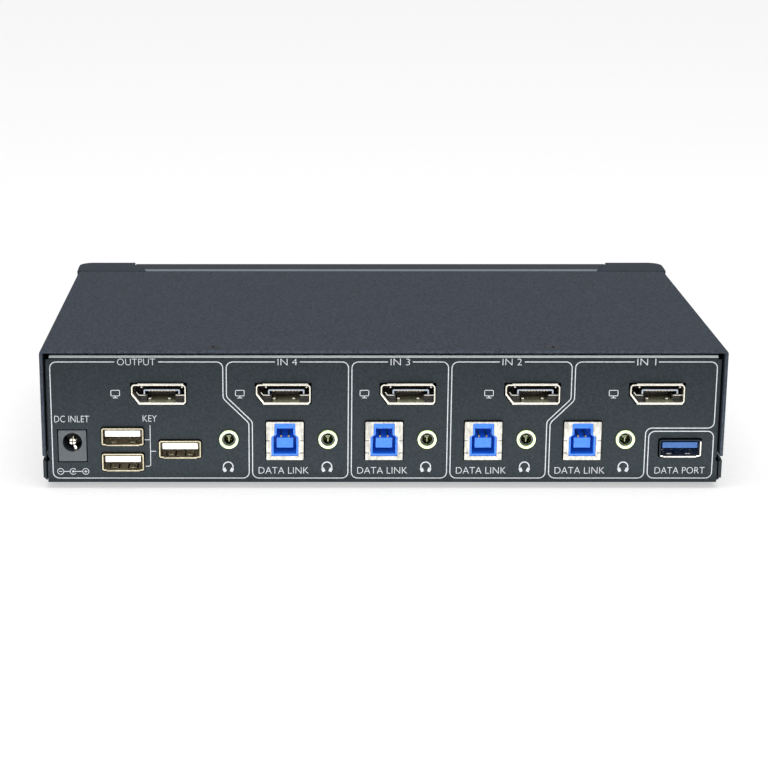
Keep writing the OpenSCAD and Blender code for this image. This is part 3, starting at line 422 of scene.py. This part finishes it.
FINISH = {
    "cover_paint": powder_coat_slate(), "panel_paint": powder_coat_panel(), "bezel_plastic": abs_slate(),
    "fascia_plastic": abs_front_plate(), "button_plastic": abs_button(), "foot_rubber": foot_rubber(),
    "screw_black": black_oxide(), "stud_steel": zinc_steel(), "spacer_brass": turned_brass(),
    "circuit_board": solder_mask(), "black_plastic": lcp_black(), "white_plastic": pbt_white(),
    "ribbon_film": polyester_film(), "chip_resin": epoxy_resin(), "sink_aluminium": black_anodised(),
    "capacitor_can": can_sleeve(), "shell_nickel": bright_nickel(),
    "blue_plastic": pbt_blue("pbt_bright_blue", ("#185db9", "#256ac8"), 0.15),
    "lime_plastic": pbt_lime(), "contact_gold": gold_flash(), "light_pipe": clear_acrylic(),
}
INK = screen_ink()
TIN = warm_tin()
SATIN = satin_nickel()
SLEEVE = worn_sleeve()
BRUSHED = brushed_nickel()
SPRING = silver_spring()
TONGUE_HIGHLIGHT = lcp_edge()
DEEP_BLUE = pbt_blue("pbt_deep_blue", ("#10467e", "#18508c"), 0.03)
SHADED = shaded_nickel()
HOUSING = jack_housing()

slot_of = {part["node"]: part["material_slot"] for part in frame["record"]["subparts"]}
for name, piece in frame["nodes"].items():
    piece.data.materials.clear()
    piece.data.materials.append(FINISH[slot_of[name]])


# ---------------------------------------------------------------- modelling


def edit(piece):
    bpy.ops.object.select_all(action="DESELECT")
    piece.select_set(True)
    bpy.context.view_layer.objects.active = piece
    bpy.ops.object.mode_set(mode="EDIT")


def leave():
    bpy.ops.object.mode_set(mode="OBJECT")


def pick(piece, test):
    """Selects the edited mesh's vertices whose place passes the test."""
    mesh = bmesh.from_edit_mesh(piece.data)
    bpy.ops.mesh.select_all(action="DESELECT")
    for vertex in mesh.verts:
        if test(vertex.co):
            vertex.select_set(True)
    mesh.select_flush(True)
    bmesh.update_edit_mesh(piece.data)


def applied(piece, kind, **settings):
    """Adds a modifier with its settings and applies it."""
    bpy.ops.object.select_all(action="DESELECT")
    piece.select_set(True)
    bpy.context.view_layer.objects.active = piece
    modifier = piece.modifiers.new(kind.lower(), kind)
    for name, value in settings.items():
        setattr(modifier, name, value)
    bpy.ops.object.modifier_apply(modifier=modifier.name)


def sawn(piece, place, size):
    """Takes a box of the given size (mm) about a place out of a piece."""
    bpy.ops.object.select_all(action="DESELECT")
    bpy.ops.mesh.primitive_cube_add(size=1, location=place)
    saw = bpy.context.object
    saw.scale = [length * MM for length in size]
    bpy.ops.object.transform_apply(location=True, rotation=True, scale=True)
    applied(piece, "BOOLEAN", operation="DIFFERENCE", object=saw)
    bpy.data.objects.remove(saw)


def dress(piece, material, body=CASE):
    """Gives a finished piece its material and the body that it rides on."""
    piece.data.materials.clear()
    piece.data.materials.append(material)
    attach(piece, body)


def refined(cad_node, edge, body=CASE, material=None):
    """A copy of a CAD piece with its sharp edges broken by edge (mm), which stands for it."""
    piece = frame["nodes"][cad_node].copy()
    piece.data = piece.data.copy()
    piece.name = cad_node + "_finished"
    piece.parent = None
    for key in list(piece.keys()):
        del piece[key]
    bpy.context.scene.collection.objects.link(piece)
    edit(piece)
    bpy.ops.mesh.select_all(action="SELECT")
    bpy.ops.mesh.remove_doubles(threshold=0.002 * MM)
    leave()
    applied(piece, "BEVEL", width=edge * MM, segments=2, limit_method="ANGLE", angle_limit=math.radians(30),
            use_clamp_overlap=True, miter_outer="MITER_ARC")
    bpy.ops.object.shade_smooth_by_angle(angle=math.radians(35))
    applied(piece, "WEIGHTED_NORMAL", weight=100, keep_sharp=True)
    slot = slot_of[cad_node]
    dress(piece, material or FINISH[slot], body)
    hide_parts(cad_node)
    return piece


def joined(name, pieces):
    bpy.ops.object.select_all(action="DESELECT")
    for piece in pieces:
        piece.select_set(True)
    bpy.context.view_layer.objects.active = pieces[0]
    if len(pieces) > 1:
        bpy.ops.object.join()
    pieces[0].name = name
    return pieces[0]


def shifted_copy(piece, name, shift):
    """A copy with its own mesh, moved in the mesh."""
    twin = piece.copy()
    twin.data = piece.data.copy()
    twin.name = name
    bpy.context.scene.collection.objects.link(twin)
    edit(twin)
    bpy.ops.mesh.select_all(action="SELECT")
    bpy.ops.transform.translate(value=shift)
    leave()
    return twin


# ---------------------------------------------------------------- lines drawn on or beside the panel


def ribbon(corners, width, radius=0.0, plane_y=0.0, thick=0.03, closed=False):
    """A line of even width through corners (x, z) in mm, rounded by radius, standing thick mm in Y."""
    stops = [Vector((x, 0, z)) * MM for x, z in corners]
    if closed:
        start = (stops[-1] + stops[0]) / 2
        stops = [start] + stops + [start]
    heads = [(b - a).normalized() for a, b in zip(stops, stops[1:])]
    turns = [math.atan2(a.x * b.z - a.z * b.x, a.dot(b)) for a, b in zip(heads, heads[1:])] + [0]
    slope = math.atan2(heads[0].z, heads[0].x)
    back = stops[0] - heads[0] * width * MM / 2 + Vector((0, plane_y, 0))
    bpy.ops.object.select_all(action="DESELECT")
    bpy.ops.mesh.primitive_plane_add(size=width * MM, location=back, rotation=(math.pi / 2, -slope, 0))
    piece = bpy.context.object
    bpy.ops.object.transform_apply(location=True, rotation=True, scale=True)
    edit(piece)
    pick(piece, lambda at: (at - back).dot(heads[0]) < 0)
    bpy.ops.mesh.delete(type="VERT")
    bpy.ops.mesh.select_all(action="SELECT")
    trimmed = 0
    for index, (head, turn) in enumerate(zip(heads, turns)):
        length = (stops[index + 1] - stops[index]).length
        trim = radius * MM * math.tan(abs(turn) / 2)
        bpy.ops.mesh.extrude_region_move(TRANSFORM_OT_translate={"value": head * (length - trimmed - trim)})
        if turn:
            side = Vector((-head.z, 0, head.x)) * math.copysign(1, turn)
            centre = stops[index + 1] - head * trim + side * radius * MM + Vector((0, plane_y, 0))
            steps = max(2, round(abs(math.degrees(turn)) / 15))
            bpy.ops.mesh.spin(steps=steps, angle=turn, center=centre, axis=(0, 1, 0))
        trimmed = trim
    if closed:
        bpy.ops.mesh.select_all(action="SELECT")
        bpy.ops.mesh.remove_doubles(threshold=0.001 * MM)
    leave()
    applied(piece, "SOLIDIFY", thickness=thick * MM, offset=0)
    return piece


def ring(x, z, radius, width, plane_y, thick=0.03, arc=360, start=0):
    """A round line about (x, z) in mm: one edge spun about the panel's normal."""
    a = math.radians(start)
    spot = Vector((x + radius * math.cos(a), 0, z + radius * math.sin(a))) * MM + Vector((0, plane_y, 0))
    bpy.ops.object.select_all(action="DESELECT")
    bpy.ops.mesh.primitive_plane_add(size=width * MM, location=spot, rotation=(math.pi / 2, -a, 0))
    piece = bpy.context.object
    bpy.ops.object.transform_apply(location=True, rotation=True, scale=True)
    along = Vector((-math.sin(a), 0, math.cos(a)))
    edit(piece)
    pick(piece, lambda at: (at - spot).dot(along) < 0)
    bpy.ops.mesh.delete(type="VERT")
    bpy.ops.mesh.select_all(action="SELECT")
    bpy.ops.transform.translate(value=-along * width * MM / 2)
    bpy.ops.mesh.spin(steps=max(6, arc // 12), angle=math.radians(arc), axis=(0, 1, 0),
                      center=Vector((x, 0, z)) * MM + Vector((0, plane_y, 0)))
    bpy.ops.mesh.select_all(action="SELECT")
    bpy.ops.mesh.remove_doubles(threshold=0.001 * MM)
    leave()
    applied(piece, "SOLIDIFY", thickness=thick * MM, offset=0)
    return piece


def lettering(words, x, z, width, height, y, facing=1):
    """Words centred at (x, z) mm on a plane that faces +Y or -Y, fitted to width and cap height (mm)."""
    bpy.ops.object.select_all(action="DESELECT")
    bpy.ops.object.text_add()
    piece = bpy.context.object
    piece.data.body = words
    piece.data.extrude = 0.005
    piece.data.offset = -0.014
    piece.data.resolution_u = 3
    bpy.ops.object.convert(target="MESH")
    spots = [v.co for v in piece.data.vertices]
    box_low = Vector([min(c[i] for c in spots) for i in range(3)])
    box_high = Vector([max(c[i] for c in spots) for i in range(3)])
    size = box_high - box_low
    edit(piece)
    bpy.ops.mesh.select_all(action="SELECT")
    bpy.ops.transform.translate(value=-(box_low + box_high) / 2)
    bpy.ops.transform.resize(value=(width * MM / size.x, height * MM / size.y, 0.03 * MM / size.z))
    bpy.ops.mesh.remove_doubles(threshold=0.003 * MM)
    leave()
    piece.rotation_euler = (math.pi / 2, 0, math.pi if facing > 0 else 0)
    piece.location = (x * MM, y, z * MM)
    bpy.ops.object.transform_apply(location=True, rotation=True, scale=True)
    return piece


PRINT_Y = PANEL_Y + 0.01 * MM
LINE = 0.3
THIN_LINE = 0.22
DOT_R = 0.3
CORNER = 2.0
CAP = 2.2
EDGE_X = SIDE_X / MM - 3.2
FRAME_TOP = TRAY_TOP / MM - 2.13
FRAME_LOW = TRAY_LOW / MM + 1.37
HALF_GAP = 0.55
GUTTER_SHIFT = 7.05
LABEL_RISE = 1.53
DATA_LABEL_W = 16.2
BEND_Z = 22.45
LEAN = [8.25, 0, 0, -7.55]
TITLES = [("OUTPUT", 12.2), ("IN 4", 6.2), ("IN 3", 6.2), ("IN 2", 6.2), ("IN 1", 6.0)]
TITLE_SPACE = 0.9
FAST_BOX_TOP = 19.43
FAST_BOX_GAP = 1.07


def column_frames():
    """One rounded outline round each column of sockets, open where its title stands in the top line."""
    lower = [EDGE_X] + [spot.x / MM - GUTTER_SHIFT for spot in AUDIO] + [-EDGE_X]
    upper = [lower[i] + lean for i, lean in zip(range(1, 5), LEAN)]
    upper = [EDGE_X] + upper + [-EDGE_X]
    lines = []
    words = []
    for i, (title, title_width) in enumerate(TITLES):
        def side(k, toward):
            """Corners of the gutter k, from the top down, on the side of this column."""
            top_x, low_x = upper[k], lower[k]
            shift = HALF_GAP * toward if abs(top_x) < EDGE_X else 0
            if abs(top_x - low_x) < 0.01 or abs(top_x) >= EDGE_X:
                return [(top_x + shift, FRAME_TOP), (top_x + shift, FRAME_LOW)]
            lift = shift * math.copysign(math.tan(math.pi / 8), top_x - low_x)
            bend_top = BEND_Z + abs(top_x - low_x)
            return [(top_x + shift, FRAME_TOP), (top_x + shift, bend_top - lift),
                    (low_x + shift, BEND_Z - lift), (low_x + shift, FRAME_LOW)]

        left = side(i, -1)
        right = side(i + 1, 1)
        if i == len(TITLES) - 1:
            step = lower[i + 1] + HALF_GAP
            right = [(-EDGE_X, FRAME_TOP), (-EDGE_X, FAST_BOX_TOP + FAST_BOX_GAP),
                     (step, FAST_BOX_TOP + FAST_BOX_GAP), (step, FRAME_LOW)]
        centre = (left[0][0] + right[0][0]) / 2
        gap = title_width / 2 + TITLE_SPACE
        path = [(centre - gap, FRAME_TOP)] + right + left[::-1] + [(centre + gap, FRAME_TOP)]
        lines.append(ribbon(path, LINE, CORNER, PRINT_Y))
        words.append(lettering(title, centre, FRAME_TOP, title_width, CAP, PRINT_Y))
    box_left = lower[5] - HALF_GAP
    lines.append(ribbon([(box_left, FRAME_LOW), (box_left, FAST_BOX_TOP), (-EDGE_X, FAST_BOX_TOP),
                         (-EDGE_X, FRAME_LOW)], LINE, CORNER, PRINT_Y, closed=True))
    dress(joined("column_frames", lines), INK)
    dress(joined("column_titles", words), INK)


def socket_labels():
    """Words above or below the sockets."""
    base = FRAME_LOW + LABEL_RISE + CAP / 2
    words = [lettering("DATA LINK", spot.x / MM + 0.45, base, DATA_LABEL_W, CAP, PRINT_Y) for spot in HOST]
    words.append(lettering("DATA PORT", mount["fast_rear"].x / MM - 0.3, base, DATA_LABEL_W, CAP, PRINT_Y))
    words.append(lettering("DC INLET", POWER.x / MM, POWER.z / MM + 7.85, 11.2, CAP, PRINT_Y))
    words.append(lettering("KEY", mount["pair_high"].x / MM - 8.85, POWER.z / MM + 8.05, 4.5, CAP - 0.1,
                           PRINT_Y))
    dress(joined("socket_labels", words), INK)


def bracket_lines():
    """Thin bracket that ties the three keyboard sockets to their label."""
    x = mount["pair_high"].x / MM - 8.9
    upper, lower = mount["pair_high"].z / MM - 1.13, mount["pair_low"].z / MM - 1.5
    middle_z = mount["single"].z / MM - 0.78
    lines = [ribbon([(x, upper + 4.9), (x, lower), (x + 1.7, lower)], THIN_LINE, 0.7, PRINT_Y),
             ribbon([(x, upper), (x + 1.8, upper)], THIN_LINE, 0, PRINT_Y),
             ribbon([(x, middle_z), (x - 1.8, middle_z)], THIN_LINE, 0, PRINT_Y)]
    dress(joined("bracket_lines", lines), INK)


def screen_icons():
    """A small screen on a stand beside each video socket."""
    first = VIDEO[0]
    x, z = first.x / MM + 13.95, first.z / MM
    icon = joined("screen_icon_1", [
        ribbon([(x - 1.4, z - 0.8), (x + 1.4, z - 0.8), (x + 1.4, z + 1.05), (x - 1.4, z + 1.05)],
               THIN_LINE, 0.3, PRINT_Y, closed=True),
        ribbon([(x, z - 0.8), (x, z - 1.5)], 0.5, 0, PRINT_Y),
        ribbon([(x - 0.8, z - 1.5), (x + 0.8, z - 1.5)], THIN_LINE, 0, PRINT_Y)])
    dress(icon, INK)
    for k, spot in enumerate(VIDEO[1:], start=2):
        dress(shifted_copy(icon, f"screen_icon_{k}", spot - first), INK)


def headphone_icons():
    """A headband with two ear cups below each audio jack."""
    first = AUDIO[0]
    x, z = first.x / MM + 0.3, first.z / MM - 9.3
    cup = 1.55
    icon = joined("headphone_icon_1", [
        ring(x, z, cup, 0.36, PRINT_Y, arc=228, start=-24),
        ribbon([(x - cup + 0.1, z - 0.5), (x - cup + 0.62, z - 1.7)], 1.0, 0, PRINT_Y),
        ribbon([(x + cup - 0.1, z - 0.5), (x + cup - 0.62, z - 1.7)], 1.0, 0, PRINT_Y)])
    dress(icon, INK)
    for k, spot in enumerate(AUDIO[1:], start=2):
        dress(shifted_copy(icon, f"headphone_icon_{k}", spot - first), INK)


def polarity_marks():
    """Ring with minus, ring with a dot and ring with plus, in a row under the power jack."""
    x, z, reach, r = POWER.x / MM, POWER.z / MM - 9.87, 4.07, 1.0
    marks = [ring(x + reach, z, r, 0.2, PRINT_Y), ring(x - reach, z, r, 0.2, PRINT_Y),
             ring(x, z, r, 0.2, PRINT_Y, arc=288, start=-144), ring(x, z, 0.18, 0.34, PRINT_Y)]
    for s in (-1, 1):
        near = r if s > 0 else DOT_R
        marks.append(ribbon([(x + s * near, z), (x + s * (reach - r), z)], THIN_LINE, 0, PRINT_Y))
        marks.append(ribbon([(x + s * reach - 0.5, z), (x + s * reach + 0.5, z)], THIN_LINE, 0, PRINT_Y))
    marks.append(ribbon([(x - reach, z - 0.5), (x - reach, z + 0.5)], THIN_LINE, 0, PRINT_Y + 0.004 * MM))
    dress(joined("polarity_marks", marks), INK)


def front_numerals():
    """The numbers of the select buttons, between each button and its light."""
    face = FASCIA_Y - 0.01 * MM
    words = [lettering(str(k), middle(f"select_button_{k}").x / MM, high(f"select_button_{k}").z / MM + 1.9,
                       0.6 if k == 1 else 1.3, 1.9, face, facing=-1) for k in range(1, 5)]
    dress(joined("front_numerals", words), INK)


# ---------------------------------------------------------------- details of the sockets

TONGUE_SHIFT = 0.95
TONGUE_HALF = 5.6
LEDGE, PIP, BAR, BAR_W = 0.95, 2.05, 3.2, 0.58
JACK_MOUTH_R = 2.3
SLEEVE_R = 1.75
GAP_AT = (6.1, 2.78)
GAP_SIZE = (1.5, 1.4, 0.7)
SAW_CUT = 0.35


def repeated(piece, row, places, material):
    """Gives the first piece and its copies at the other places their finish and names."""
    for k, spot in enumerate(places[1:], start=2):
        dress(shifted_copy(piece, f"{row}_{k}", spot - places[0]), material)
    piece.name = f"{row}_1"
    dress(piece, material)


def video_details():
    """Pale rim on the hooded tongue, a painted highlight of its edge, and the bright ledges and pips of the
    shell round it.
    """
    first = VIDEO[0]
    x, z = first.x / MM - TONGUE_SHIFT, first.z / MM
    rim = ribbon([(x + TONGUE_HALF, z - 0.25), (x + TONGUE_HALF, z + 1.0), (x - TONGUE_HALF, z + 1.0),
                  (x - TONGUE_HALF, z - 0.25)], 0.45, 0.2, FACE_Y - 1.4 * MM, 0.24)
    applied(rim, "BEVEL", width=0.05 * MM, segments=2)
    repeated(rim, "tongue_rim", VIDEO, TONGUE_HIGHLIGHT)
    deep = FACE_Y - 2.4 * MM
    ledges = joined("shell_ledges", [
        ribbon([(x + 5.3, z - LEDGE), (x + 7.4, z - LEDGE), (x + 8.2, z + 0.05)], 0.24, 0.1, deep, 0.3),
        ribbon([(x - 4.5, z - LEDGE), (x - 7.8, z - LEDGE)], 0.26, 0, deep, 0.3),
        ribbon([(x + 4.3, z - PIP), (x + 3.5, z - PIP)], 0.5, 0, deep, 0.6),
        ribbon([(x - 2.0, z - PIP), (x - 2.8, z - PIP)], 0.5, 0, deep, 0.6),
        ribbon([(x + 7.6, z + BAR), (x - 7.0, z + BAR)], BAR_W, 0, FACE_Y - 0.3 * MM, 0.5),
        ribbon([(x + 7.4, z - BAR), (x - 7.2, z - BAR)], BAR_W, 0, FACE_Y - 0.3 * MM, 0.5)] + [
        ring(x + s * 6.5, z + 1.85, 0.14, 0.26, FACE_Y - 2 * MM, 0.3) for s in (-1, 1)])
    applied(ledges, "BEVEL", width=0.05 * MM, segments=2)
    repeated(ledges, "shell_ledges", VIDEO, SPRING)
    floor_z = low("video_inserts").z / MM + 0.1
    plate = ribbon([(x + 4.3, floor_z), (x - 4.3, floor_z)], 0.1, 0, FACE_Y - 3.6 * MM, 5.4)
    applied(plate, "BEVEL", width=0.03 * MM, segments=2)
    repeated(plate, "shell_floor", VIDEO, BRUSHED)


def jack_details():
    """Bent contact springs and the bright collar that show in the bore of each audio jack."""
    first = AUDIO[0]
    x, z = first.x / MM, first.z / MM
    deep = NOSE_Y - 2.2 * MM
    springs = joined("jack_springs", [
        ribbon([(x + 0.8, z + 0.75), (x - 0.7, z + 0.75)], 0.34, 0, deep, 0.9),
        ribbon([(x + 0.6, z + 0.2), (x - 0.5, z + 0.2)], 0.26, 0, deep - 0.5 * MM, 0.9),
        ribbon([(x, z + 0.45), (x, z - 1.1)], 0.36, 0, deep + 0.2 * MM, 0.8)])
    applied(springs, "BEVEL", width=0.05 * MM, segments=2)
    repeated(springs, "jack_springs", AUDIO, SLEEVE)
    sleeve = ring(x, z, SLEEVE_R, 0.08, NOSE_Y - 3.1 * MM, 4.4)
    bpy.ops.object.shade_smooth_by_angle(angle=math.radians(35))
    repeated(sleeve, "jack_sleeve", AUDIO, SLEEVE)
    seat = JACK_MOUTH_R - SLEEVE_R
    collar = ring(x, z, SLEEVE_R + seat / 2, seat, NOSE_Y - 0.84 * MM, 0.1)
    repeated(collar, "jack_collar", AUDIO, HOUSING)


def corner_gaps(shell, sockets):
    """Opens the lower corners of flat shells, where the flanges of the rolled sheet stop short."""
    for socket in sockets:
        for side in (-1, 1):
            sawn(shell, (socket.x + side * GAP_AT[0] * MM, FACE_Y, socket.z - GAP_AT[1] * MM), GAP_SIZE)


def power_details():
    """Cross-slotted tip of the centre pin and the leaf that presses on the plug's sleeve."""
    pin_r = mount_radius("power_pin")
    tip_y = high("power_pin").y
    bpy.ops.object.select_all(action="DESELECT")
    bpy.ops.mesh.primitive_cylinder_add(vertices=32, radius=pin_r, depth=tip_y - low("power_pin").y,
                                        location=(POWER.x, (tip_y + low("power_pin").y) / 2, POWER.z),
                                        rotation=(math.pi / 2, 0, 0))
    pin = bpy.context.object
    bpy.ops.object.transform_apply(location=True, rotation=True, scale=True)
    for size in ((3, 5, SAW_CUT), (SAW_CUT, 5, 3)):
        sawn(pin, (POWER.x, tip_y, POWER.z), size)
    applied(pin, "BEVEL", width=0.12 * MM, segments=3, limit_method="ANGLE", angle_limit=math.radians(50))
    bpy.ops.object.shade_smooth_by_angle(angle=math.radians(35))
    pin.name = "slotted_pin"
    dress(pin, FINISH["shell_nickel"])
    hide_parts("power_pin")
    x, z = POWER.x / MM, POWER.z / MM
    leaf = ribbon([(x - 0.9, z - 3.0), (x - 0.9, z - 2.0), (x - 0.4, z - 1.5)], 0.7, 0.3,
                  POWER.y + 1.5 * MM, 5)
    applied(leaf, "BEVEL", width=0.06 * MM, segments=2)
    leaf.name = "sleeve_leaf"
    dress(leaf, SPRING)


def mount_radius(name):
    dims = next(m["dims"] for m in frame["record"]["mounts"] if m["name"] == name)
    return dims["r_mm"] * MM


# ---------------------------------------------------------------- building

EDGES = {
    "top_cover": 0.18, "base_tray": 0.12, "front_bezel": 0.12, "front_fascia": 0.15, "rubber_feet": 0.3,
    "cover_screws": 0.06, "video_inserts": 0.1, "host_inserts": 0.12, "power_jack": 0.12,
    "heat_sinks": 0.1, "capacitors": 0.3, "video_chips": 0.1, "main_chips": 0.1, "light_pipes": 0.15,
}
for name, edge in EDGES.items():
    refined(name, edge, material=HOUSING if name == "power_jack" else None)
ROWS = (("video_shell", 0.1, None), ("audio_jack", 0.12, None), ("host_shell", 0.07, SATIN))
for row, edge, finish in ROWS:
    first = refined(f"{row}_1", edge, material=finish)
    for k in range(2, 1 + sum(name.startswith(row) for name in frame["nodes"])):
        cad_node = f"{row}_{k}"
        twin = shifted_copy(first, cad_node + "_finished", low(cad_node) - low(f"{row}_1"))
        dress(twin, finish or FINISH[slot_of[cad_node]])
        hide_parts(cad_node)
for k in range(1, 5):
    refined(f"select_button_{k}", 0.2, body=f"button_{k}")
FLAT_ROWS = (("pair_shell", TIN, ("pair_low", "pair_high")), ("single_shell", TIN, ("single",)),
             ("fast_shell", SHADED, ("fast_rear",)))
for row, finish, sockets in FLAT_ROWS:
    corner_gaps(refined(row, 0.16, material=finish), [mount[name] for name in sockets])
refined("front_port_shells", 0.16, material=TIN)
for row in ("pair_insert", "single_insert", "front_port_inserts"):
    refined(row, 0.12)
refined("fast_insert", 0.12, material=DEEP_BLUE)

column_frames()
socket_labels()
bracket_lines()
screen_icons()
headphone_icons()
polarity_marks()
front_numerals()
video_details()
jack_details()
power_details()

camera()
studio()
